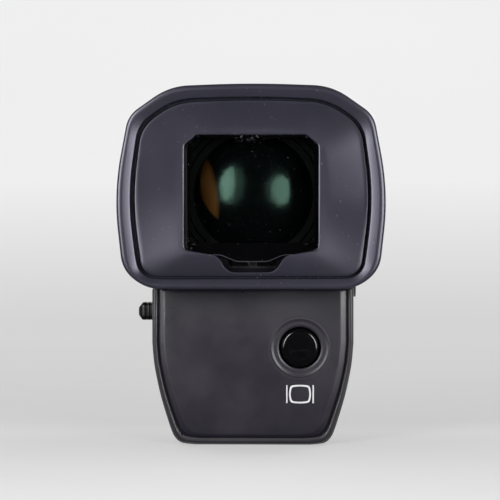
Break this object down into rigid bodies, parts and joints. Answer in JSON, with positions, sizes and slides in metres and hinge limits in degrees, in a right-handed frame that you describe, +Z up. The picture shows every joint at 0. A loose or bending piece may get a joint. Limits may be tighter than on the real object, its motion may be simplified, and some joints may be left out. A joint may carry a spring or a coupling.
{
  "type": "electronic viewfinder",
  "caption": "Clip-on electronic viewfinder: a tilting eyepiece head with a soft eyecup over a base with a shoe foot, a plug, a round button and a lock.",
  "frame": {"origin": "middle of the shoe foot's sole", "axes": "+X to the right for someone at the eyepiece, +Y forward towards the subject, +Z up"},
  "size_m": [0.0354, 0.0478, 0.0479],
  "materials": {
    "housing_plastic": "fine-grained dark violet-grey moulding",
    "panel_plastic": "fine-grained, bevelled edge",
    "cup_rubber": "soft satin",
    "black_plastic": "matt",
    "gloss_black": "polished",
    "pale_plastic": "satin",
    "foot_metal": "bead-blasted",
    "steel": "fine-turned",
    "brass": "bright",
    "circuit_board": "solder mask",
    "flex_film": "amber film",
    "window_glass": "coated",
    "lens_glass": "green-coated",
    "display_face": "polished"
  },
  "bodies": {
    "base": {"base_housing": "housing_plastic", "base_top_cover": "housing_plastic", "rear_panel": "panel_plastic", "shoe_foot": "foot_metal", "foot_screw_1": "steel", "foot_screw_2": "steel", "foot_screw_3": "steel", "foot_screw_4": "steel", "main_board": "circuit_board", "driver_chip": "black_plastic", "main_connector": "pale_plastic", "tact_switch": "steel", "plug_shell": "steel", "plug_tongue": "brass", "lock_spring": "steel", "flex_cable": "flex_film", "hinge_pin": "steel", "friction_washer": "brass"},
    "head": {"head_top_cover": "housing_plastic", "head_bottom_cover": "housing_plastic", "eyecup": "cup_rubber", "eyepiece_frame": "black_plastic", "window_glass": "window_glass", "optics_barrel": "black_plastic", "sensor_board": "circuit_board", "sensor_emitter": "gloss_black", "sensor_detector": "gloss_black", "field_lens": "lens_glass", "field_lens_ring": "black_plastic", "display_frame": "black_plastic", "display_panel": "display_face", "backlight": "pale_plastic", "display_board": "circuit_board", "display_connector": "pale_plastic"},
    "dial": {"dioptre_dial": "black_plastic", "dioptre_cam": "brass"},
    "lens_carriage": {"lens_carrier": "black_plastic", "follower_pin": "steel", "eye_lens_ring": "black_plastic", "eye_lens": "lens_glass", "lens_spacer": "black_plastic", "mid_lens": "lens_glass"},
    "button": {"monitor_button": "gloss_black", "switch_plunger": "pale_plastic"},
    "slider": {"lock_slider": "black_plastic"},
    "pin": {"lock_pin": "steel"}
  },
  "joints": [
    {"name": "head_tilt", "type": "hinge", "parent": "base", "child": "head", "pos_m": [0, 0.0133, 0.0103], "axis": [-1, 0, 0], "range_deg": [0, 90], "deforming": ["flex_cable"]},
    {"name": "dioptre_turn", "type": "hinge", "parent": "head", "child": "dial", "pos_m": [0.0152, -0.0131, 0.0215], "axis": [1, 0, 0], "range_deg": [-70, 140]},
    {"name": "lens_focus", "type": "slide", "parent": "head", "child": "lens_carriage", "axis": [0, 1, 0], "range_m": [-0.00073, 0.00147]},
    {"name": "monitor_press", "type": "slide", "parent": "base", "child": "button", "axis": [0, 1, 0], "range_m": [0, 0.0005], "stiffness_N_per_m": 3000},
    {"name": "lock_slide", "type": "slide", "parent": "base", "child": "slider", "axis": [0, 1, 0], "range_m": [0, 0.0016], "stiffness_N_per_m": 150, "springref_m": -0.0008, "deforming": ["lock_spring"]},
    {"name": "lock_lift", "type": "slide", "parent": "base", "child": "pin", "axis": [0, 0, 1], "range_m": [0, 0.0008]}
  ],
  "couplings": [
    {"joint": "dioptre_turn", "follows": "lens_focus", "rad_per_m": 1666.7},
    {"joint": "lock_lift", "follows": "lock_slide", "ratio": 0.5}
  ]
}
